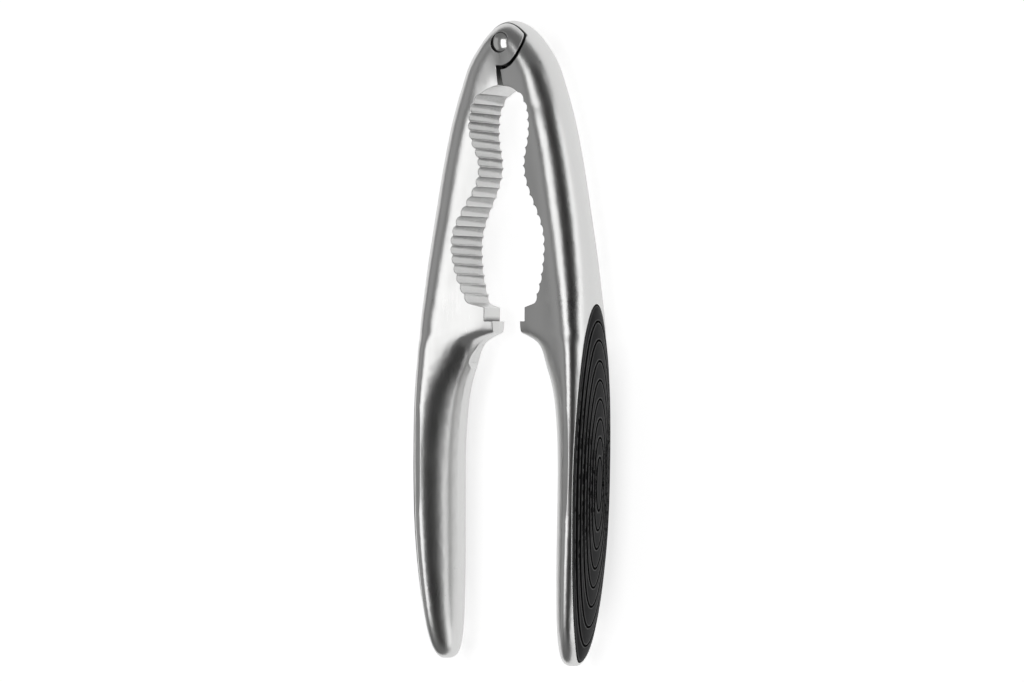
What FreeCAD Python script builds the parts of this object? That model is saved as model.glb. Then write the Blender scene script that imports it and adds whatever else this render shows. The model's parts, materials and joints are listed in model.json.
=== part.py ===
"""Lever nutcracker: two die-cast arms on one pivot, with rubber inlays in the handles.

The model lies flat. X runs across it (left arm at -X, right arm at +X), Y runs along it with
the pivot at the +Y end, and Z is the thickness. It is drawn about the pivot axis, with its
mid-plane at Z = 0, and moved at the end so that the origin is the bottom centre of its box.
"""

import FreeCAD, Part
import math
import os

from FreeCAD import Vector

os.makedirs("parts", exist_ok=True)

# ---------------------------------------------------------------- driving dimensions (mm)

# Overall. Ahead of the pivot is the rounded top of the knuckle; behind it hang the arms.
TOP_REACH = 6.2  # pivot axis to the top of the knuckle
ARM_REACH = 163.4  # pivot axis to the handle tips
HALF_WIDTH = 27.8  # mid-line to the outermost point of a handle
HANDLE_HALF_THICKNESS = 9.5
HANDLE_DEPTH = 11.5  # across a handle, from its outermost point to its nose
JAW_HALF_THICKNESS = 7.5
KNUCKLE_HALF_THICKNESS = 7.25
SHOULDER_Y = -19.0  # where the arch over the knuckle turns into the straight arms
SHOULDER_INSET = 10.1  # how much narrower the arch is there than the handles, each side
REST_LAND_DEPTH = 0.12  # how much of the handle's rounding the flat resting land takes off
TALL = 2 * HANDLE_HALF_THICKNESS  # half height of the cutters that go right through
BEYOND = 10.0  # how far a cutter runs past what it cuts

# Knuckle: the left arm carries two ears, the right arm the tongue between them.
EAR_RADIUS = 6.1
EAR_CLEARANCE = 0.45  # radial gap between the tongue's eye and the left arm around it
SHOULDER_GAP = 0.7  # between the right arm's shoulder and an ear, at the ear's side
SHOULDER_DROP = 0.35  # the shoulder's arc is centred this much below the pivot
TONGUE_ROOT_RADIUS = 8.2  # the tongue runs this far out, into the right arm
TONGUE_HALF_THICKNESS = 3.5
WASHER_THICKNESS = 0.4
WASHER_RADIUS = 4.6
AXIAL_CLEARANCE = 0.05  # each side of a washer
EAR_INNER_Z = TONGUE_HALF_THICKNESS + WASHER_THICKNESS + 2 * AXIAL_CLEARANCE
SLOT_LEFT_TOP = Vector(-1.3, -5.0, 0)
SLOT_LEFT_BOTTOM = Vector(-1.0, -12.5, 0)
SLOT_RIGHT_TOP = Vector(-0.1, -5.0, 0)
SLOT_RIGHT_BOTTOM = Vector(0.65, -12.5, 0)

# Pivot pin
SHANK_RADIUS = 2.0
RUNNING_CLEARANCE = 0.05  # radial, tongue and washers on the shank
HEAD_RADIUS = 2.45
HEAD_RIM = 0.45
HEAD_DOME = 0.65
COUNTERBORE_RADIUS = 2.75
COUNTERBORE_DEPTH = 0.95

# Jaws. Half gaps are measured from the mid-line with the arms at rest.
CAVITY_TOP = -11.3
ROOF_HALF_WIDTH = 5.6  # the smooth roof of the cavity, as far as the first tooth
ROOF_DROP = 2.1
ROOF_BULGE = 0.55  # how far the roof has dropped half-way out
SECOND_CREST_Y = -15.9
HAZEL_HALF_GAP = 8.6
HAZEL_Y = -22.5
NECK_HALF_GAP = 6.3
NECK_Y = -32.6
WALNUT_HALF_GAP = 13.9
WALNUT_Y = -53.0
WALNUT_END_HALF_GAP = 9.3
UPPER_STEP_HALF_GAP = 6.25
UPPER_STEP_Y = -69.7
LOWER_STEP_HALF_GAP = 4.3
LOWER_STEP_Y = -73.4
STEP_END_Y = -76.7
UNDERCUT_WIDTH = 7.9  # the hollow under the steps: how far it runs out along X
UNDERCUT_HEIGHT = 7.9  # and down along Y
UNDERCUT_BULGE = (0.62, 0.33)  # shares of the two that its curve passes through
TOOTH_DEPTH = 0.7
DRAFT = 0.05  # how far the jaw faces lean back for each unit of height, from the parting line
HAZEL_TEETH = 8
WALNUT_TEETH = 14
STEP_LEAD = 0.9  # the last crest stands this far above the upper step

# Grip inlay: an ellipse seen from the side, let into the crown of the handle.
PAD_TIP_MARGIN = 0.8  # metal beyond its lower end
PAD_HALF_LENGTH = 46.9
PAD_HALF_WIDTH = 8.7
PAD_DEPTH = 1.6
PAD_PROUD = 0.15
PAD_EDGE_CLEARANCE = 0.1

# ---------------------------------------------------------------- cross-sections of an arm

FAN_CENTRE = Vector(0, SHOULDER_Y, 0)  # the sections over the knuckle all face this point
FAN_END_MARGIN = 4.0  # where they stop short of it, well inside the hazelnut cavity
JAW_SOFTENING = 1.8  # how gently the crown turns into the tapering face of a jaw
HANDLE_SOFTENING = 1.0  # the same on a handle
JAW_SQUARENESS = 8  # how squarely the faces meet the nose; 2 would be an ellipse
JAW_OVERREACH = 2.0  # how far past the mid-line a jaw's uncut nose lies
CROWN_POINTS = 5
FACE_POINTS = 7


class Section:
    """One cross-section: crown outside, tapering faces, and a nose on the inner side."""

    def __init__(self, outer, inward, reach, crown, half_thickness, taper, squareness, softening):
        self.outer = outer
        self.inward = inward
        self.reach = reach
        self.crown = crown
        self.half_thickness = half_thickness
        self.taper = taper
        self.squareness = squareness
        self.softening = softening

    def half_profile(self):
        """Depth inward and half thickness of points from the outermost point to the nose."""
        points = []
        for i in range(CROWN_POINTS):
            angle = math.pi / 2 * i / CROWN_POINTS
            depth = self.crown * (1 - math.cos(angle))
            points.append((depth, self.half_thickness * math.sin(angle)))
        face = self.reach - self.crown
        for i in range(FACE_POINTS + 1):
            share = math.sin(math.pi / 2 * i / FACE_POINTS)
            run = face * share
            fall = self.taper * (math.hypot(run, self.softening) - self.softening)
            rounding = math.sqrt(max(0.0, 1 - share**self.squareness))
            points.append((self.crown + run, (self.half_thickness - fall) * rounding))
        return points

    def upper_half(self):
        """The section's upper half, from its outermost point over to its nose."""
        points = []
        for depth, height in self.half_profile():
            points.append(self.outer + self.inward * depth + Vector(0, 0, height))
        curve = Part.BSplineCurve()
        curve.interpolate(
            Points=points, InitialTangent=Vector(0, 0, 1), FinalTangent=Vector(0, 0, -1)
        )
        return curve.toShape()


def fan_section(across, up, crown, taper):
    """A section over the knuckle, from a point on the arch towards the fan's centre.

    The point is given by its shares of the arch's half width and height.
    """
    x = across * (HALF_WIDTH - SHOULDER_INSET)
    y = SHOULDER_Y + up * (TOP_REACH - SHOULDER_Y)
    outer = Vector(x, y, 0)
    towards = FAN_CENTRE - outer
    reach = towards.Length - FAN_END_MARGIN
    towards.normalize()
    return Section(outer, towards, reach, crown, KNUCKLE_HALF_THICKNESS, taper, JAW_SQUARENESS, JAW_SOFTENING)


def jaw_section(y, inset, crown, thickness, taper):
    """A section of the jaw, square to the Y axis; its nose lies past the jaw's working edge."""
    outer = Vector(HALF_WIDTH - inset, y, 0)
    reach = outer.x + JAW_OVERREACH
    height = thickness * JAW_HALF_THICKNESS
    return Section(outer, Vector(-1, 0, 0), reach, crown, height, taper, JAW_SQUARENESS, JAW_SOFTENING)


def handle_section(share, inset, nose, crown, thickness, taper, squareness):
    """A section of the handle, at a share of the way from the steps to the tip.

    The nose is given by how far it stands back from its place on a full handle.
    """
    y = STEP_END_Y - share * (ARM_REACH + STEP_END_Y)
    outer = Vector(HALF_WIDTH - inset, y, 0)
    reach = HANDLE_DEPTH - inset - nose
    height = thickness * HANDLE_HALF_THICKNESS
    return Section(outer, Vector(-1, 0, 0), reach, crown, height, taper, squareness, HANDLE_SOFTENING)


def arm_sections():
    """The sections of the right arm, from behind the knuckle to the handle's tip."""
    over_knuckle = [
        fan_section(-0.69, 0.58, 6.6, 0.15),
        fan_section(-0.51, 0.755, 6.3, 0.12),
        fan_section(-0.294, 0.91, 6.1, 0.11),
        fan_section(0.0, 1.0, 6.0, 0.11),
        fan_section(0.294, 0.91, 6.1, 0.11),
        fan_section(0.51, 0.755, 6.3, 0.12),
        fan_section(0.69, 0.58, 6.6, 0.15),
        fan_section(0.82, 0.373, 6.7, 0.20),
        fan_section(0.92, 0.183, 6.8, 0.26),
    ]
    jaws = [
        jaw_section(SHOULDER_Y, SHOULDER_INSET, 6.9, 0.973, 0.32),
        jaw_section(-26.0, 8.3, 7.0, 0.987, 0.36),
        jaw_section(-35.0, 6.4, 7.0, 1.0, 0.37),
        jaw_section(-46.0, 4.4, 7.0, 1.013, 0.37),
        jaw_section(-58.0, 2.5, 6.6, 1.06, 0.37),
        jaw_section(-68.0, 1.3, 6.0, 1.10, 0.36),
        jaw_section(-74.5, 0.75, 5.5, 1.14, 0.36),
    ]
    handle = [
        handle_section(0.026, 0.50, -7.5, 5.2, 0.92, 0.36, 5),
        handle_section(0.084, 0.25, -4.8, 4.8, 0.948, 0.37, 3.4),
        handle_section(0.153, 0.10, -2.5, 4.5, 0.97, 0.38, 2.6),
        handle_section(0.234, 0.0, -1.0, 4.3, 0.99, 0.38, 2.2),
        handle_section(0.338, 0.0, -0.2, 4.2, 1.0, 0.38, 2),
        handle_section(0.465, 0.1, 0.0, 4.2, 1.0, 0.38, 2),
        handle_section(0.592, 0.5, -0.1, 4.1, 0.98, 0.38, 2),
        handle_section(0.719, 1.35, -0.2, 3.9, 0.92, 0.37, 2),
        handle_section(0.811, 2.2, -0.2, 3.6, 0.84, 0.35, 2),
        handle_section(0.892, 3.2, -0.15, 3.2, 0.73, 0.32, 2),
        handle_section(0.949, 4.2, 0.2, 2.7, 0.585, 0.27, 2),
        handle_section(0.983, 5.3, 1.0, 2.1, 0.42, 0.20, 2),
        handle_section(1.0, 6.5, 2.6, 1.0, 0.17, 0.10, 2),
    ]
    return over_knuckle + jaws + handle


def arm_blank():
    """The right arm before it is cut: knuckle arch, jaw and handle in one smooth body."""
    halves = [section.upper_half() for section in arm_sections()]
    upper = Part.makeLoft([Part.Wire(half) for half in halves], False, False)
    lower = flipped(upper)
    ends = [end_face(halves[0]), end_face(halves[-1])]
    shell = Part.makeShell(upper.Faces + lower.Faces + ends)
    shell.sewShape()
    solid = Part.makeSolid(Part.makeShell(shell.Faces))
    if solid.Volume < 0:
        solid.reverse()
    return solid


def flipped(shape):
    """The same shape on the other side of the mid-plane."""
    return shape.mirror(Vector(0, 0, 0), Vector(0, 0, 1))


def end_face(upper_half):
    """The flat end of the body at its first or last section."""
    return Part.Face(Part.Wire([upper_half, flipped(upper_half)]))


# ---------------------------------------------------------------- plan outlines


def prism(edges, low, high):
    """A closed outline in the plan, raised from one height to another."""
    face = plan_face(edges)
    face.translate(Vector(0, 0, low))
    return face.extrude(Vector(0, 0, high - low))


def plan_face(edges):
    """A closed outline in the plan, filled."""
    return Part.Face(Part.Wire(Part.sortEdges(edges)[0]))


def polygon(points):
    """Straight edges through the points and back to the first."""
    ring = points + points[:1]
    return [Part.makeLine(a, b) for a, b in zip(ring, ring[1:])]


def blend(share):
    """A smooth step from 0 to 1."""
    return (1 - math.cos(math.pi * share)) / 2


def jaw_half_gap(y):
    """Half gap between the smooth jaws, before the teeth, at a place along them."""
    if y > HAZEL_Y:
        share = (y - HAZEL_Y) / (CAVITY_TOP - HAZEL_Y)
        return HAZEL_HALF_GAP * math.sqrt(max(0.0, 1 - share**2.6))
    if y > NECK_Y:
        share = (HAZEL_Y - y) / (HAZEL_Y - NECK_Y)
        return HAZEL_HALF_GAP + (NECK_HALF_GAP - HAZEL_HALF_GAP) * blend(share)
    if y > WALNUT_Y:
        share = (NECK_Y - y) / (NECK_Y - WALNUT_Y)
        return NECK_HALF_GAP + (WALNUT_HALF_GAP - NECK_HALF_GAP) * blend(share)
    share = (WALNUT_Y - y) / (WALNUT_Y - UPPER_STEP_Y)
    return WALNUT_HALF_GAP + (WALNUT_END_HALF_GAP - WALNUT_HALF_GAP) * share**2


def tooth_tips(first_y, last_y, count):
    """Crests of the teeth along one stretch of jaw."""
    tips = []
    for i in range(count + 1):
        y = first_y + (last_y - first_y) * i / count
        tips.append(Vector(jaw_half_gap(y), y, 0))
    return tips


def scallop(start, end):
    """The rounded valley between two crests, hollowed into the arm."""
    middle = (start + end) / 2
    across = Vector(-(end - start).y, (end - start).x, 0)
    across.normalize()
    return Part.Arc(start, middle + across * TOOTH_DEPTH, end).toShape()


def jaw_edges():
    """The working edge of the right jaw, from the cavity's top to below the steps."""
    roof_start = Vector(0, CAVITY_TOP, 0)
    roof_middle = Vector(ROOF_HALF_WIDTH / 2, CAVITY_TOP - ROOF_BULGE, 0)
    first_crest = Vector(ROOF_HALF_WIDTH, CAVITY_TOP - ROOF_DROP, 0)
    crests = [first_crest]
    crests += tooth_tips(SECOND_CREST_Y, NECK_Y, HAZEL_TEETH - 1)
    crests += tooth_tips(NECK_Y, UPPER_STEP_Y + STEP_LEAD, WALNUT_TEETH)[1:]
    edges = [Part.Arc(roof_start, roof_middle, first_crest).toShape()]
    edges += [scallop(a, b) for a, b in zip(crests, crests[1:])]
    corners = [
        crests[-1],
        Vector(UPPER_STEP_HALF_GAP, UPPER_STEP_Y, 0),
        Vector(UPPER_STEP_HALF_GAP, LOWER_STEP_Y, 0),
        Vector(LOWER_STEP_HALF_GAP, LOWER_STEP_Y, 0),
        Vector(LOWER_STEP_HALF_GAP, STEP_END_Y, 0),
    ]
    edges += [Part.makeLine(a, b) for a, b in zip(corners, corners[1:])]
    return edges, corners[-1]


def between_arms():
    """What is cut from the right blank between the jaws and under the steps.

    Above and below the mid-plane the cut leans outward, which is the draft of the casting.
    """
    edges, step_corner = jaw_edges()
    under_end = step_corner + Vector(UNDERCUT_WIDTH, -UNDERCUT_HEIGHT, 0)
    out, down = UNDERCUT_BULGE
    middle = step_corner + Vector(out * UNDERCUT_WIDTH, -down * UNDERCUT_HEIGHT, 0)
    edges.append(Part.Arc(step_corner, middle, under_end).toShape())
    low_y = under_end.y - UNDERCUT_HEIGHT
    back = [
        under_end,
        Vector(under_end.x, low_y, 0),
        Vector(-HALF_WIDTH, low_y, 0),
        Vector(-HALF_WIDTH, CAVITY_TOP, 0),
        Vector(0, CAVITY_TOP, 0),
    ]
    edges += [Part.makeLine(a, b) for a, b in zip(back, back[1:])]
    outline = plan_face(edges)
    lean = DRAFT * TALL
    upper = outline.extrude(Vector(lean, 0, TALL))
    return upper.fuse(flipped(upper))


def disc(radius, low, high):
    """A cylinder about the pivot axis."""
    return Part.makeCylinder(radius, high - low, Vector(0, 0, low))


def side_of_slot(top, bottom, side):
    """The plan on one side (-1 or +1) of a slot face, carried straight up past the knuckle."""
    far = side * (HALF_WIDTH + BEYOND)
    high = TOP_REACH + BEYOND
    low = -ARM_REACH - BEYOND
    points = [
        bottom,
        top,
        Vector(top.x, high, 0),
        Vector(far, high, 0),
        Vector(far, low, 0),
        Vector(bottom.x, low, 0),
    ]
    return prism(polygon(points), -TALL, TALL)


def layers(tool_radius, low, high):
    """A pair of discs, above and below the mid-plane."""
    return disc(tool_radius, low, high).fuse(disc(tool_radius, -high, -low))


def mirrored(shape):
    """The same shape on the other side of the mid-line."""
    return shape.mirror(Vector(0, 0, 0), Vector(1, 0, 0))


def resting_lands():
    """What is cut away above and below the flat lands of the handles."""
    land = HANDLE_HALF_THICKNESS - REST_LAND_DEPTH
    width = 2 * (HALF_WIDTH + BEYOND)
    length = ARM_REACH + TOP_REACH + 2 * BEYOND
    upper = Part.makeBox(width, length, BEYOND, Vector(-width / 2, -ARM_REACH - BEYOND, land))
    return [upper, flipped(upper)]


# ---------------------------------------------------------------- pieces


def pad_prism(clearance):
    """The inlay's outline seen from the side, as a block through the right handle's crown."""
    ellipse = Part.Ellipse(Vector(0, 0, 0), PAD_HALF_LENGTH - clearance, PAD_HALF_WIDTH - clearance)
    face = Part.Face(Part.Wire(ellipse.toShape()))
    # the ellipse is drawn flat with its long axis on X: turn it to stand along Y and face X
    face.rotate(Vector(0, 0, 0), Vector(0, 0, 1), 90)
    face.rotate(Vector(0, 0, 0), Vector(0, 1, 0), 90)
    face.translate(Vector(HALF_WIDTH - HANDLE_DEPTH, pad_centre_y(), 0))
    return face.extrude(Vector(2 * HANDLE_DEPTH, 0, 0))


def pad_centre_y():
    """Where the middle of an inlay lies along the handle."""
    return -ARM_REACH + PAD_TIP_MARGIN + PAD_HALF_LENGTH


def pad_pocket(blank, clearance):
    """The space over the pocket floor inside the inlay's outline."""
    floor = blank.copy()
    floor.translate(Vector(-PAD_DEPTH, 0, 0))
    return pad_prism(clearance).cut(floor)


def grip_pad(blank):
    """The right handle's rubber inlay, lying on its pocket floor and just proud of the metal."""
    skin = blank.copy()
    skin.translate(Vector(PAD_PROUD, 0, 0))
    return pad_pocket(blank, PAD_EDGE_CLEARANCE).common(skin)


def left_arm(trimmed):
    """The arm with the two ears, drawn from the mirrored right blank."""
    mirror = mirrored(trimmed)
    ears = mirror.common(disc(EAR_RADIUS, -TALL, TALL))
    body = mirror.common(side_of_slot(SLOT_LEFT_TOP, SLOT_LEFT_BOTTOM, -1))
    arm = body.fuse(ears).cut(disc(EAR_RADIUS + EAR_CLEARANCE, -EAR_INNER_Z, EAR_INNER_Z))
    arm = arm.cut(tongue_sweep())
    arm = arm.cut(disc(SHANK_RADIUS, -TALL, TALL))
    bottom = KNUCKLE_HALF_THICKNESS - COUNTERBORE_DEPTH
    return arm.cut(layers(COUNTERBORE_RADIUS, bottom, TALL))


def tongue_sweep():
    """Room between the ears for the tongue's root as the right arm turns."""
    far = HALF_WIDTH + BEYOND
    high = TOP_REACH + BEYOND
    points = [
        Vector(SLOT_LEFT_TOP.x, high, 0),
        SLOT_LEFT_TOP,
        SLOT_LEFT_BOTTOM,
        Vector(far, SLOT_LEFT_BOTTOM.y, 0),
        Vector(far, high, 0),
    ]
    return prism(polygon(points), -EAR_INNER_Z, EAR_INNER_Z)


def right_arm(trimmed):
    """The arm with the tongue."""
    body = trimmed.common(side_of_slot(SLOT_RIGHT_TOP, SLOT_RIGHT_BOTTOM, 1))
    around_ear = disc(EAR_RADIUS + SHOULDER_GAP, -TALL, TALL)
    around_ear.translate(Vector(0, -SHOULDER_DROP, 0))
    body = body.cut(around_ear)
    tongue = trimmed.common(disc(TONGUE_ROOT_RADIUS, -TONGUE_HALF_THICKNESS, TONGUE_HALF_THICKNESS))
    tongue = tongue.common(tongue_plan())
    return body.fuse(tongue).cut(disc(SHANK_RADIUS + RUNNING_CLEARANCE, -TALL, TALL))


def tongue_plan():
    """The tongue's outline: a disc about the pivot, run on into the right arm's shoulder."""
    eye = disc(EAR_RADIUS, -TALL, TALL)
    root = side_of_slot(SLOT_RIGHT_TOP, SLOT_RIGHT_BOTTOM, 1)
    return eye.fuse(root)


def pivot_pin():
    """Shank with a low domed head let into each ear."""
    seat = KNUCKLE_HALF_THICKNESS - COUNTERBORE_DEPTH
    dome_radius = (HEAD_RADIUS**2 + HEAD_DOME**2) / (2 * HEAD_DOME)
    rim_top = seat + HEAD_RIM
    head = disc(HEAD_RADIUS, seat, rim_top + HEAD_DOME)
    ball = Part.makeSphere(dome_radius, Vector(0, 0, rim_top + HEAD_DOME - dome_radius))
    head = head.common(ball)
    lower = flipped(head)
    return disc(SHANK_RADIUS, -seat, seat).fuse([head, lower]).removeSplitter()


def washer(side):
    """A thin washer between the tongue and one ear."""
    inner = TONGUE_HALF_THICKNESS + AXIAL_CLEARANCE
    ring = disc(WASHER_RADIUS, inner, inner + WASHER_THICKNESS)
    ring = ring.cut(disc(SHANK_RADIUS + RUNNING_CLEARANCE, 0, TALL))
    return ring if side > 0 else flipped(ring)


def build():
    """All pieces, drawn about the pivot axis."""
    blank = arm_blank()
    for land in resting_lands():
        blank = blank.cut(land)
    trimmed = blank.cut(between_arms())
    pocketed = trimmed.cut(pad_pocket(blank, 0))
    pad = grip_pad(blank)
    return {
        "left_arm": left_arm(pocketed),
        "right_arm": right_arm(pocketed),
        "pivot_pin": pivot_pin(),
        "front_washer": washer(1),
        "rear_washer": washer(-1),
        "left_grip_pad": mirrored(pad),
        "right_grip_pad": pad,
    }


def main():
    """Move every piece to the resting frame and write it."""
    origin_shift = Vector(
        0,
        (ARM_REACH - TOP_REACH) / 2,
        HANDLE_HALF_THICKNESS - REST_LAND_DEPTH,
    )
    for name, shape in build().items():
        solid = shape.Solids[0] if len(shape.Solids) == 1 else shape
        solid.translate(origin_shift)
        solid.exportStep("parts/" + name + ".step")
        box = solid.BoundBox
        print(name, len(shape.Solids), "solid, valid", solid.isValid(), round(solid.Volume, 1), box)


main()
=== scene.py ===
"""Looks of the lever nutcracker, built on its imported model.

The frame is in metres and lies flat: X across the nutcracker, Y along it towards the pivot,
and Z up through its thickness from the floor at 0.
"""

import json
import logging
import math
from dataclasses import dataclass, field
from enum import Enum
from typing import Any

import bmesh
import bpy
from mathutils import Matrix, Vector
from mathutils.bvhtree import BVHTree

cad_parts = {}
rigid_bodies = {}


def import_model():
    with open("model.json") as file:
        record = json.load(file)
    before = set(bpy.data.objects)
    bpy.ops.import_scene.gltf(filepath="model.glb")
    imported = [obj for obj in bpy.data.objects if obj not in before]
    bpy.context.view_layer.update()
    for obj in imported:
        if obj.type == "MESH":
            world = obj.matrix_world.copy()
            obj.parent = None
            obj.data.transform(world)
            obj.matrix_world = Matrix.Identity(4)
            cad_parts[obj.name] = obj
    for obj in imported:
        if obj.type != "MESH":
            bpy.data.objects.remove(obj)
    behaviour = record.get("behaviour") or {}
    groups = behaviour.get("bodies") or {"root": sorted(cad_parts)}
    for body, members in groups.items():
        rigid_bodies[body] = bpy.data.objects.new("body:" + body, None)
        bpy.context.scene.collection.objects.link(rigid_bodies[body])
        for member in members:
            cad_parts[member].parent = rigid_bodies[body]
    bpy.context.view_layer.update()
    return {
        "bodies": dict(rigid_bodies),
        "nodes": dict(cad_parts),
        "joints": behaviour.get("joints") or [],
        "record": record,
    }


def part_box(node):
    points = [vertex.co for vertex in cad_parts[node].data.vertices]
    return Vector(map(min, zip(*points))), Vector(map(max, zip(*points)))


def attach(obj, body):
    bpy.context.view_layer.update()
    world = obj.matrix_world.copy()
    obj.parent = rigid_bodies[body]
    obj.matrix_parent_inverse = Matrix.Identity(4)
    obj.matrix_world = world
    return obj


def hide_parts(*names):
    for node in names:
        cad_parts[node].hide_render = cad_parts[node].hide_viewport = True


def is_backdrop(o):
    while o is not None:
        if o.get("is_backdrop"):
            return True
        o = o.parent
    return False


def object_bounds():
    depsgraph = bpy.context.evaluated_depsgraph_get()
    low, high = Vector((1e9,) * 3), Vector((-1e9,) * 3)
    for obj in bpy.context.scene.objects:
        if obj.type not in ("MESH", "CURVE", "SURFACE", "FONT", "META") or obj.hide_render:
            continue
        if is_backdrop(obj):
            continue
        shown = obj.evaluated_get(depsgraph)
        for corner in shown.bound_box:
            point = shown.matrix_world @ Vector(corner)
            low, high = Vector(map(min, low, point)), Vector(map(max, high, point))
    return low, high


MM = 0.001
LOG = logging.getLogger("nutcracker")
Colour = tuple[float, float, float]


class Side(Enum):
    """Which arm a piece belongs to, with the sign of X on that side."""

    LEFT = -1
    RIGHT = 1

    @property
    def word(self) -> str:
        """The side's name as it stands in node names."""
        return self.name.lower()


# ---------------------------------------------------------------- shader maths


class Value:
    """A number from a node, on which arithmetic adds Math nodes."""

    def __init__(self, shader: "Shader", socket: bpy.types.NodeSocket | None) -> None:
        """Wrap a socket.

        Args:
            shader: the shader whose tree holds the socket.
            socket: the output that carries the number, or None for a node without outputs.
        """
        self.shader = shader
        self.socket = socket

    def _math(self, operation: str, first: Any, second: Any) -> "Value":
        """Add one Math node.

        Args:
            operation: the Math node's operation.
            first: its first operand, a number or a Value.
            second: its second operand.

        Returns:
            The node's result.
        """
        return self.shader.node("ShaderNodeMath", {"operation": operation}, {0: first, 1: second})

    def __add__(self, other: Any) -> "Value":
        """Self plus other."""
        return self._math("ADD", self, other)

    def __radd__(self, other: Any) -> "Value":
        """Other plus self."""
        return self._math("ADD", other, self)

    def __sub__(self, other: Any) -> "Value":
        """Self minus other."""
        return self._math("SUBTRACT", self, other)

    def __rsub__(self, other: Any) -> "Value":
        """Other minus self."""
        return self._math("SUBTRACT", other, self)

    def __mul__(self, other: Any) -> "Value":
        """Self times other."""
        return self._math("MULTIPLY", self, other)

    def __rmul__(self, other: Any) -> "Value":
        """Other times self."""
        return self._math("MULTIPLY", other, self)

    def clamped(self) -> "Value":
        """Self held between 0 and 1."""
        return self._math("MINIMUM", self._math("MAXIMUM", self, 0.0), 1.0)


class Shader:
    """A material's node tree, with one method that adds every node."""

    def __init__(self, name: str) -> None:
        """Start an empty material.

        Args:
            name: the material's name.
        """
        self.material = bpy.data.materials.new(name)
        self.material.use_nodes = True
        self.tree = self.material.node_tree
        self.tree.nodes.clear()

    def node(self, kind: str, settings: dict[str, Any] | None = None,
             sockets: dict[Any, Any] | None = None, output: Any = 0) -> Value:
        """Add a node.

        Args:
            kind: the node's type.
            settings: its own properties, set first; "stops" is a ramp's list of (place, grey).
            sockets: values or links of its inputs, by name or index.
            output: name or index of the output that is wanted.

        Returns:
            The wanted output.
        """
        made = self.tree.nodes.new(kind)
        for name, value in (settings or {}).items():
            if name == "stops":
                self._set_stops(made.color_ramp, value)
            else:
                setattr(made, name, value)
        for name, value in (sockets or {}).items():
            if isinstance(value, Value):
                self.tree.links.new(value.socket, made.inputs[name])
            else:
                made.inputs[name].default_value = value
        return Value(self, made.outputs[output] if made.outputs else None)

    @staticmethod
    def _set_stops(ramp: bpy.types.ColorRamp, stops: list[tuple[float, float]]) -> None:
        """Give a colour ramp its stops.

        Args:
            ramp: the ramp of a new node.
            stops: place and grey level of each stop, in order.
        """
        for place, _ in stops[1:-1]:
            ramp.elements.new(place)
        for element, (place, grey) in zip(ramp.elements, stops):
            element.position = place
            element.color = (grey, grey, grey, 1.0)

    def place(self, stretch: tuple[float, float, float] = (1.0, 1.0, 1.0)) -> Value:
        """Coordinates that stay on the piece, stretched along its axes.

        Args:
            stretch: factor along X, Y and Z.

        Returns:
            The scaled object coordinates.
        """
        here = self.node("ShaderNodeTexCoord", output="Object")
        return self.node("ShaderNodeMapping", {}, {"Vector": here, "Scale": stretch})

    def noise(self, where: Value, scale: float, detail: float = 2.0, rough: float = 0.5) -> Value:
        """A noise from 0 to 1.

        Args:
            where: its coordinates.
            scale: how many blobs there are in a metre.
            detail: how many finer layers it has.
            rough: how strong the finer layers are.

        Returns:
            The noise's value.
        """
        return self.node("ShaderNodeTexNoise", {},
                         {"Vector": where, "Scale": scale, "Detail": detail, "Roughness": rough}, "Fac")

    def ramp(self, value: Value, stops: list[tuple[float, float]]) -> Value:
        """Pass a value through a ramp.

        Args:
            value: what goes in.
            stops: place and grey level of each stop.

        Returns:
            The ramp's grey as a number.
        """
        return self.node("ShaderNodeValToRGB", {"stops": stops}, {"Fac": value})

    def tint(self, mask: Value, low: Any, high: Any) -> Value:
        """Mix two colours.

        Args:
            mask: 0 for the first colour, 1 for the second.
            low: the first colour, as three numbers or a mixed colour.
            high: the second colour.

        Returns:
            The mixed colour.
        """
        ends = [colour if isinstance(colour, Value) else (*colour, 1.0) for colour in (low, high)]
        return self.node("ShaderNodeMix", {"data_type": "RGBA"}, {0: mask, 6: ends[0], 7: ends[1]}, 2)

    def bump(self, height: Value, strength: float, distance: float,
             base: Value | None = None) -> Value:
        """Turn a height into a normal.

        Args:
            height: the relief, from 0 to 1.
            strength: how much of it shows.
            distance: its depth in metres.
            base: the normal that the relief lies on, if it isn't the surface's own.

        Returns:
            The bumped normal.
        """
        sockets = {"Strength": strength, "Distance": distance, "Height": height}
        if base is not None:
            sockets["Normal"] = base
        return self.node("ShaderNodeBump", {}, sockets, "Normal")

    def finish(self, sockets: dict[str, Any]) -> bpy.types.Material:
        """End the tree in a Principled shader.

        Args:
            sockets: values or links of the shader's inputs.

        Returns:
            The finished material.
        """
        return self.surface(self.node("ShaderNodeBsdfPrincipled", {}, sockets, "BSDF"))

    def surface(self, closure: Value) -> bpy.types.Material:
        """Link a shader to the material's surface.

        Args:
            closure: the shader.

        Returns:
            The finished material.
        """
        self.node("ShaderNodeOutputMaterial", {}, {"Surface": closure})
        return self.material


# ---------------------------------------------------------------- finishes


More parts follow.
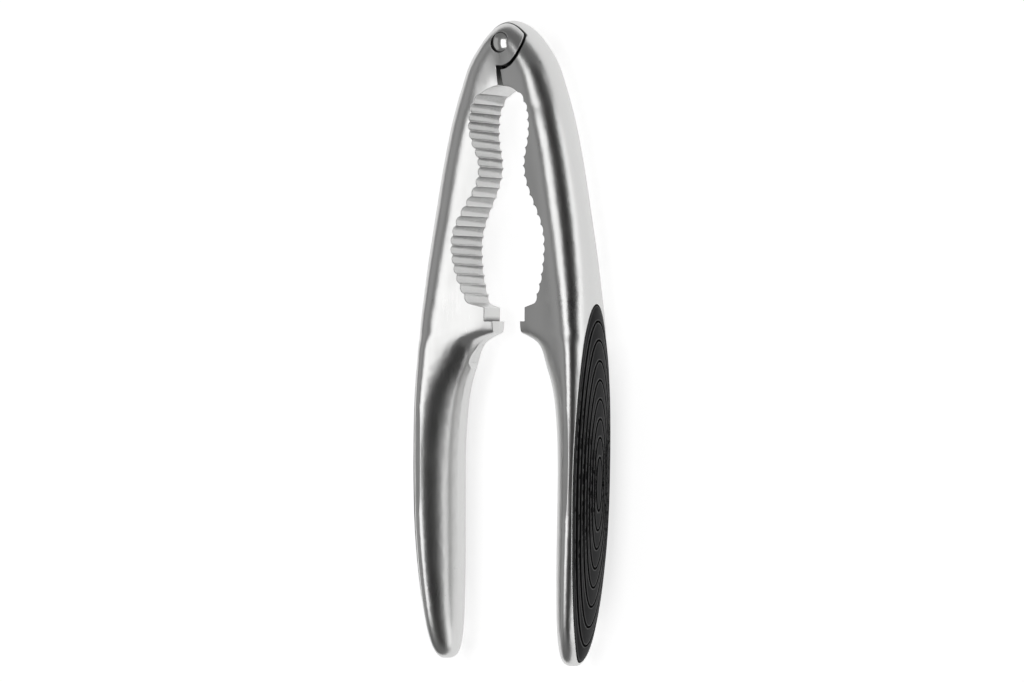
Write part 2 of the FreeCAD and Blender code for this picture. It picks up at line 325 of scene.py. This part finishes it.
@dataclass(frozen=True)
class SatinCasting:
    """Satin-plated zinc: a fine grain drawn along the arm, edges lightened partly from handling and partly
    by a painted highlight, recesses darkened partly by duller plating and partly by painted shade, and
    painted shade on one flank of each tooth.
    """

    body: Colour = (0.64, 0.64, 0.635)
    # Colour of lightened edges: partly from handling, partly a painted highlight.
    worn: Colour = (0.82, 0.82, 0.81)
    # Painted shade colour for recesses and tooth flanks, partly duller plating.
    dull: Colour = (0.14, 0.14, 0.14)
    roughness: float = 0.30
    grain_per_metre: float = 2400.0
    grain_depth: float = 0.006 * MM
    edge_radius: float = 0.35 * MM
    recess_reach: float = 1.5 * MM
    recess_ramp: tuple[float, float] = (0.60, 0.97)
    tooth_reach: float = 2.5 * MM
    tooth_ramp: tuple[float, float] = (0.88, 0.985)
    # How dark the painted shade on the tooth flanks gets.
    tooth_dullness: float = 0.92
    flank_steepness: float = 3.2
    flank_width: float = 0.55
    flank_narrowing: float = 90.0
    # Gain and strength of the edge lightening, partly from handling and partly a painted highlight.
    wear_gain: float = 9.0
    wear_strength: float = 0.75
    cloud_strength: float = 0.15

    def material(self) -> bpy.types.Material:
        """Make the material.

        Returns:
            The satin casting material.
        """
        shader = Shader("satin_casting")
        drawn = shader.noise(shader.place((1.0, 0.06, 1.0)), self.grain_per_metre, 3.0, 0.6)
        cloudy = shader.noise(shader.place(), 55.0, 3.0, 0.55)
        pebbly = shader.noise(shader.place(), 1100.0, 2.0)
        # Painted highlight, partly from handling: outer edges lightened in the base colour.
        worn = self._worn_edges(shader, pebbly)
        # Painted shade, partly duller plating: recesses and one flank of each tooth darkened in the base
        # colour.
        recess_dullness_and_shade = (self._recesses(shader) + self._valleys(shader, pebbly)).clamped()
        bright = (worn * self.wear_strength + cloudy * self.cloud_strength).clamped()
        plain = shader.tint(bright, self.body, self.worn)
        colour = shader.tint(recess_dullness_and_shade, plain, self.dull)
        rough = self.roughness + 0.10 * (cloudy - 0.5) + 0.09 * (drawn - 0.5)
        relief = drawn * 0.65 + pebbly * 0.35
        return shader.finish({
            "Base Color": colour,
            "Metallic": 1.0,
            "Roughness": (rough + 0.12 * recess_dullness_and_shade - 0.06 * worn).clamped(),
            "Normal": shader.bump(relief, 0.4, self.grain_depth, self._soft_edges(shader)),
        })

    def _soft_edges(self, shader: Shader) -> Value:
        """The surface's direction, rounded at the casting's edges.

        Args:
            shader: the material's shader.

        Returns:
            The softened normal.
        """
        return shader.node("ShaderNodeBevel", {"samples": 6}, {"Radius": self.edge_radius}, "Normal")

    def _worn_edges(self, shader: Shader, pebbly: Value) -> Value:
        """Where the outer edges are lightened, partly from handling and partly as a painted highlight.

        Args:
            shader: the material's shader.
            pebbly: a fine noise that breaks the wear up.

        Returns:
            1 on a lightened edge, 0 away from it.
        """
        face = shader.node("ShaderNodeNewGeometry", output="Normal")
        agreement = shader.node("ShaderNodeVectorMath", {"operation": "DOT_PRODUCT"},
                                {0: face, 1: self._soft_edges(shader)}, "Value")
        # Painted highlight: lighter where the softened normal bends away from the face, in the open.
        bent = (1 - agreement) * self.wear_gain
        open_air = shader.node("ShaderNodeAmbientOcclusion", {"samples": 6},
                               {"Distance": self.edge_radius * 2}, "AO")
        return (bent * open_air * (0.5 + pebbly)).clamped()

    def _recesses(self, shader: Shader) -> Value:
        """Where recesses are darkened, partly by duller plating and partly by painted shade: tooth
        valleys, the slot and the pocket's rim.

        Args:
            shader: the material's shader.

        Returns:
            1 deep in a hollow, 0 in the open.
        """
        open_air = shader.node("ShaderNodeAmbientOcclusion", {"samples": 8},
                               {"Distance": self.recess_reach}, "AO")
        shut, clear = self.recess_ramp
        # Painted shade, partly duller plating: darker where ambient occlusion is low.
        return shader.ramp(open_air, [(shut, 1.0), (clear, 0.0)])

    def _valleys(self, shader: Shader, pebbly: Value) -> Value:
        """A painted shade on one flank of each tooth, wider towards the underside.

        Args:
            shader: the material's shader.
            pebbly: a fine noise that breaks the flank's border up.

        Returns:
            Nearly 1 on the flanks that face away from the pivot, 0 elsewhere.
        """
        facing = shader.node("ShaderNodeTexCoord", output="Normal")
        here = shader.node("ShaderNodeTexCoord", output="Object")
        lean = shader.node("ShaderNodeSeparateXYZ", {}, {0: facing}, "Y")
        height = shader.node("ShaderNodeSeparateXYZ", {}, {0: here}, "Z")
        sheltered = shader.node("ShaderNodeAmbientOcclusion", {"samples": 8},
                                {"Distance": self.tooth_reach}, "AO")
        edge = self.flank_width - height * self.flank_narrowing
        # Painted shade: the flank darkens by its normal's lean along Y.
        flank = (lean * -self.flank_steepness + edge + (pebbly - 0.5) * 0.5).clamped()
        shut, clear = self.tooth_ramp
        return flank * shader.ramp(sheltered, [(shut, self.tooth_dullness), (clear, 0.0)])


@dataclass(frozen=True)
class PolishedSteel:
    """The rivet's turned head: bright, with faint rings of the turning tool."""

    body: Colour = (0.74, 0.74, 0.73)
    roughness: float = 0.12
    rings_per_metre: float = 1500.0

    def material(self, centre: Vector) -> bpy.types.Material:
        """Make the material.

        Args:
            centre: a point on the pin's axis.

        Returns:
            The polished steel material.
        """
        shader = Shader("polished_steel")
        here = shader.node("ShaderNodeTexCoord", output="Object")
        about = shader.node("ShaderNodeVectorMath", {"operation": "SUBTRACT"}, {0: here, 1: centre})
        rings = shader.node("ShaderNodeTexWave", {"wave_type": "RINGS", "rings_direction": "Z"},
                            {"Vector": about, "Scale": self.rings_per_metre, "Distortion": 0.4}, "Fac")
        smudge = shader.noise(here, 700.0, 3.0)
        return shader.finish({
            "Base Color": shader.tint(smudge, self.body, (0.86, 0.86, 0.85)),
            "Metallic": 1.0,
            "Roughness": self.roughness + 0.12 * smudge,
            "Normal": shader.bump(rings, 0.12, 0.01 * MM),
        })


@dataclass(frozen=True)
class GripRubber:
    """Black moulded rubber with a slight sheen, a little random dust, a painted highlight on the groove
    ridges and painted shade in the grooves.
    """

    body: Colour = (0.016, 0.016, 0.017)
    # Painted shade: black of the groove bottoms.
    deep: Colour = (0.001, 0.001, 0.001)
    # Painted highlight colour on the groove ridges, with a little random dust.
    dusty: Colour = (0.17, 0.17, 0.172)
    roughness: float = 0.46

    def material(self) -> bpy.types.Material:
        """Make the material.

        Returns:
            The rubber material.
        """
        shader = Shader("grip_rubber")
        fine = shader.noise(shader.place(), 5200.0, 3.0, 0.6)
        cloudy = shader.noise(shader.place(), 140.0, 3.0)
        # Painted light from the mesh: 1 a painted highlight on ridges, -1 painted shade in grooves.
        worn = shader.node("ShaderNodeAttribute", {"attribute_name": "wear"}, output="Fac")
        # Painted highlight on the ridges, with a little random dust.
        dusted_and_highlit = shader.tint((worn * (0.5 + fine) + cloudy * 0.08).clamped(), self.body, self.dusty)
        # Painted shade: groove bottoms painted black and made rougher.
        groove = (worn * -1.0).clamped()
        rough = self.roughness + 0.14 * (cloudy - 0.5) + 0.08 * (fine - 0.5) + 0.5 * groove
        return shader.finish({
            "Base Color": shader.tint(groove, dusted_and_highlit, self.deep),
            "Roughness": rough.clamped(),
            "Specular IOR Level": 0.14,
            "Normal": shader.bump(fine, 0.35, 0.02 * MM),
        })


@dataclass(frozen=True)
class WasherPlastic:
    """Natural nylon, slightly yellow and cloudy."""

    body: Colour = (0.62, 0.60, 0.54)
    roughness: float = 0.5

    def material(self) -> bpy.types.Material:
        """Make the material.

        Returns:
            The nylon material.
        """
        shader = Shader("washer_plastic")
        cloudy = shader.noise(shader.place(), 500.0, 3.0)
        return shader.finish({
            "Base Color": shader.tint(cloudy, self.body, (0.70, 0.68, 0.62)),
            "Roughness": self.roughness + 0.1 * cloudy,
            "Normal": shader.bump(cloudy, 0.2, 0.02 * MM),
        })


# ---------------------------------------------------------------- pieces


def dress(piece: bpy.types.Object, material: bpy.types.Material) -> None:
    """Give a piece one material all over.

    Args:
        piece: the piece.
        material: what it is made of.
    """
    piece.data.materials.clear()
    piece.data.materials.append(material)


@dataclass
class Arm:
    """One cast arm: the frame's own node, finished as a satin casting."""

    side: Side
    finish: SatinCasting = field(default_factory=SatinCasting)

    def build(self, frame: dict[str, Any]) -> bpy.types.Object:
        """Dress the arm.


        Returns:
            The arm's object.
        """
        arm = frame["nodes"][f"{self.side.word}_arm"]
        dress(arm, self.finish.material())
        return arm


# Across a groove: place and depth as shares of the groove's half width and depth, and painted light (1 a
# painted highlight on the ridge, -1 painted shade in the groove).
GROOVE_PROFILE = (
    (-2.4, 0.0, 0.0),
    (-1.2, 0.0, 1.0),
    (-0.85, 0.35, -0.7),
    (-0.5, 1.0, -1.0),
    (0.5, 1.0, -1.0),
    (0.85, 0.35, -0.7),
    (1.2, 0.0, 1.0),
    (2.4, 0.0, 0.0),
)
# Over the pad's rim: place and depth in millimetres, and painted highlight.
RIM_PROFILE = ((-0.5, 0.0, 0.0), (-0.22, 0.06, 0.6), (-0.06, 0.18, 0.2), (0.0, 0.35, 0.0))


@dataclass
class GripPad:
    """A rubber inlay with concentric grooves, laid over the frame's plain pad."""

    side: Side
    finish: GripRubber = field(default_factory=GripRubber)
    grooves: tuple[float, ...] = (0.148, 0.258, 0.362, 0.472, 0.578, 0.685, 0.80, 0.905)
    groove_width: float = 0.56 * MM
    groove_depth: float = 0.5 * MM
    rim_share: float = 0.995
    underside_share: float = 0.99
    segments: int = 160
    well_outside: float = 100.0 * MM
    low: Vector = field(init=False)
    high: Vector = field(init=False)
    skin: BVHTree = field(init=False)

    def build(self, frame: dict[str, Any]) -> bpy.types.Object:
        """Model the pad over the frame's one.


        Returns:
            The new pad.
        """
        node = f"{self.side.word}_grip_pad"
        self.low, self.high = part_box(node)
        self.skin = BVHTree.FromObject(frame["nodes"][node], bpy.context.evaluated_depsgraph_get())
        pad = self._mesh(f"{self.side.word}_grip")
        dress(pad, self.finish.material())
        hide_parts(node)
        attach(pad, f"{self.side.word}_lever")
        return pad

    def _surface(self, y: float, z: float, inside: bool) -> float:
        """Where the frame's pad has its outer or inner face.

        Args:
            y: place along the nutcracker.
            z: height.
            inside: True for the face on the pocket's floor.

        Returns:
            X of that face.
        """
        sign = self.side.value
        start = sign * (0.0 if inside else self.well_outside)
        way = Vector((sign if inside else -sign, 0.0, 0.0))
        hit, _, _, _ = self.skin.ray_cast(Vector((start, y, z)), way)
        return hit.x

    def _rings(self) -> list[tuple[float, float, float, float]]:
        """Rings from the middle out.

        Returns:
            For each ring its share of the ellipse, its offset across and its depth in metres, and its
            painted light: 1 for a painted highlight on a ridge, -1 for painted shade in a groove.
        """
        half = self.groove_width / 2
        rings = []
        for share in self.grooves:
            for place, depth, wear in GROOVE_PROFILE:
                rings.append((share, place * half, depth * self.groove_depth, wear))
        for place, depth, wear in RIM_PROFILE:
            rings.append((self.rim_share, place * MM, depth * MM, wear))
        return rings

    def _mesh(self, name: str) -> bpy.types.Object:
        """Build the grooved shell and its flat underside.

        Args:
            name: the new object's name.

        Returns:
            The pad as a closed mesh.
        """
        mesh = bmesh.new()
        # Layer of painted light: ridge highlight and groove shade.
        mesh.verts.layers.float.new("wear")
        middle = (self.low + self.high) / 2
        long_half = (self.high.y - self.low.y) / 2
        wide_half = (self.high.z - self.low.z) / 2
        rows = []
        for share, offset, depth, wear in self._rings():
            rows.append(self._ring(mesh, middle, (long_half, wide_half), share, offset, depth, wear))
        under = self.underside_share
        rows.append(self._ring(mesh, middle, (long_half, wide_half), under, 0.0, None, 0.0))
        top = mesh.verts.new((self._surface(middle.y, middle.z, False), middle.y, middle.z))
        bottom = mesh.verts.new((self._surface(middle.y, middle.z, True), middle.y, middle.z))
        for inner, outer in zip(rows, rows[1:]):
            for i in range(self.segments):
                j = (i + 1) % self.segments
                mesh.faces.new((inner[i], inner[j], outer[j], outer[i]))
        for i in range(self.segments):
            j = (i + 1) % self.segments
            mesh.faces.new((top, rows[0][j], rows[0][i]))
            mesh.faces.new((bottom, rows[-1][i], rows[-1][j]))
        bmesh.ops.recalc_face_normals(mesh, faces=mesh.faces)
        data = bpy.data.meshes.new(name)
        mesh.to_mesh(data)
        mesh.free()
        data.shade_smooth()
        pad = bpy.data.objects.new(name, data)
        bpy.context.scene.collection.objects.link(pad)
        return pad

    def _ring(self, mesh: bmesh.types.BMesh, middle: Vector, halves: tuple[float, float],
              share: float, offset: float, depth: float | None,
              wear: float) -> list[bmesh.types.BMVert]:
        """One ring of points, an even distance from an ellipse.

        Args:
            mesh: the mesh under construction.
            middle: the pad's centre.
            halves: the whole pad's half length and half width.
            share: the ellipse's share of the whole.
            offset: distance outward from that ellipse.
            depth: how far below the pad's face, or None for the underside.
            wear: 1 for a painted highlight on the ring, -1 for painted shade, 0 for none.

        Returns:
            The ring's vertices.
        """
        long_half, wide_half = halves
        painted_light_layer = mesh.verts.layers.float["wear"]
        ring = []
        for i in range(self.segments):
            angle = 2 * math.pi * i / self.segments
            spread = math.hypot(long_half * math.sin(angle), wide_half * math.cos(angle))
            local = share + offset * spread / (long_half * wide_half)
            y = middle.y + local * long_half * math.cos(angle)
            z = middle.z + local * wide_half * math.sin(angle)
            if depth is None:
                x = self._surface(y, z, True)
            else:
                x = self._surface(y, z, False) - self.side.value * depth
            point = mesh.verts.new((x, y, z))
            # Painted light of this ring: highlight on a ridge, shade in a groove.
            point[painted_light_layer] = wear
            ring.append(point)
        return ring


@dataclass
class Pivot:
    """The rivet and the two washers between ears and tongue."""

    pin_finish: PolishedSteel = field(default_factory=PolishedSteel)
    washer_finish: WasherPlastic = field(default_factory=WasherPlastic)

    def build(self, frame: dict[str, Any]) -> list[bpy.types.Object]:
        """Dress the pivot's pieces.


        Returns:
            The pin and the washers.
        """
        low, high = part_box("pivot_pin")
        pin = frame["nodes"]["pivot_pin"]
        dress(pin, self.pin_finish.material((low + high) / 2))
        washers = [frame["nodes"]["front_washer"], frame["nodes"]["rear_washer"]]
        material = self.washer_finish.material()
        for washer in washers:
            dress(washer, material)
        return [pin, *washers]


# ---------------------------------------------------------------- studio


@dataclass(frozen=True)
class Lamp:
    """A rectangular soft light that faces the nutcracker's middle."""

    name: str
    lean: float
    distance: float
    width: float
    length: float
    watts: float

    def build(self, aim: Vector) -> None:
        """Hang the lamp.

        Args:
            aim: the point it faces.
        """
        data = bpy.data.lights.new(self.name, "AREA")
        data.shape = "RECTANGLE"
        data.size = self.width
        data.size_y = self.length
        data.energy = self.watts
        lamp = bpy.data.objects.new(self.name, data)
        angle = math.radians(self.lean)
        away = Vector((math.sin(angle), 0.0, math.cos(angle)))
        lamp.matrix_world = Matrix.Translation(aim + away * self.distance) @ Matrix.Rotation(angle, 4, "Y")
        bpy.context.scene.collection.objects.link(lamp)


@dataclass(frozen=True)
class Card:
    """A flat reflector or flag beside the nutcracker, part of the studio."""

    name: str
    lean: float
    distance: float
    width: float
    length: float
    grey: float

    def build(self, aim: Vector) -> None:
        """Stand the card up.

        Args:
            aim: the point it faces.
        """
        bpy.ops.mesh.primitive_plane_add(size=1.0)
        card = bpy.context.object
        card.name = self.name
        angle = math.radians(self.lean)
        away = Vector((math.sin(angle), 0.0, math.cos(angle)))
        turn = Matrix.Rotation(angle, 4, "Y")
        scale = Matrix.Diagonal((self.width, self.length, 1.0, 1.0))
        card.matrix_world = Matrix.Translation(aim + away * self.distance) @ turn @ scale
        shader = Shader(self.name)
        dress(card, shader.finish({"Base Color": (self.grey,) * 3 + (1.0,), "Roughness": 0.9}))
        card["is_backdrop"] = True


@dataclass
class Studio:
    """Pale floor, soft lights, and the camera."""

    camera_lean: float = 34.0
    camera_roll: float = 0.436
    camera_distance: float = 0.98
    lens: float = 130.2
    sensor: float = 36.0
    floor_size: float = 3.0
    floor_glow: float = 0.72
    world_grey: float = 0.17
    lamps: tuple[Lamp, ...] = (
        Lamp("overhead_softbox", -2.0, 0.9, 0.5, 0.8, 1.95),
        Lamp("right_softbox", 82.0, 1.1, 0.32, 1.4, 2.2),
        Lamp("left_fill", -58.0, 1.2, 0.8, 1.2, 0.7),
    )
    cards: tuple[Card, ...] = (
        Card("dark_flag", 44.0, 1.5, 1.25, 2.2, 0.0),
    )

    def build(self) -> None:
        """Set up floor, lights and camera."""
        low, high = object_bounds()
        aim = Vector((0.0, 0.0, (low[2] + high[2]) / 2))
        self._floor()
        self._world()
        for lamp in self.lamps:
            lamp.build(aim)
        for card in self.cards:
            card.build(aim)
        self._camera(aim)

    def _floor(self) -> None:
        """Lay the floor that the nutcracker rests on."""
        bpy.ops.mesh.primitive_plane_add(size=self.floor_size)
        floor = bpy.context.object
        floor.name = "floor"
        shader = Shader("pale_floor")
        seen = shader.node("ShaderNodeLightPath", output="Is Camera Ray")
        for ray in ("Is Glossy Ray", "Is Transmission Ray"):
            seen = seen + shader.node("ShaderNodeLightPath", output=ray)
        white = (1.0, 1.0, 1.0, 1.0)
        lit = shader.node("ShaderNodeBsdfDiffuse", {}, {"Color": (0.85, 0.85, 0.85, 1.0)})
        strength = seen.clamped() * self.floor_glow
        glow = shader.node("ShaderNodeEmission", {}, {"Color": white, "Strength": strength})
        dress(floor, shader.surface(shader.node("ShaderNodeAddShader", {}, {0: lit, 1: glow})))
        floor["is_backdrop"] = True

    def _world(self) -> None:
        """Fill the studio with a dim even grey."""
        world = bpy.data.worlds.new("studio")
        world.use_nodes = True
        background = world.node_tree.nodes["Background"]
        background.inputs["Color"].default_value = (1.0, 1.0, 1.0, 1.0)
        background.inputs["Strength"].default_value = self.world_grey
        bpy.context.scene.world = world

    def _camera(self, aim: Vector) -> None:
        """Place the camera off to the right arm's side.

        Args:
            aim: the point at the middle of the view.
        """
        data = bpy.data.cameras.new("camera")
        data.lens = self.lens
        data.sensor_width = self.sensor
        data.clip_start = 0.05
        camera = bpy.data.objects.new("camera", data)
        angle = math.radians(self.camera_lean)
        away = Vector((math.sin(angle), 0.0, math.cos(angle)))
        turn = Matrix.Rotation(angle, 4, "Y") @ Matrix.Rotation(math.radians(self.camera_roll), 4, "Z")
        camera.matrix_world = Matrix.Translation(aim + away * self.camera_distance) @ turn
        bpy.context.scene.collection.objects.link(camera)
        bpy.context.scene.camera = camera
        bpy.context.scene.view_settings.view_transform = "Standard"


def main() -> None:
    """Build the nutcracker's looks piece by piece."""
    logging.basicConfig(level=logging.INFO, format="%(name)s: %(message)s")
    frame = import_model()
    for side in Side:
        LOG.info("built %s", Arm(side).build(frame).name)
        LOG.info("built %s", GripPad(side).build(frame).name)
    for piece in Pivot().build(frame):
        LOG.info("built %s", piece.name)
    Studio().build()


if __name__ == "__main__":
    main()
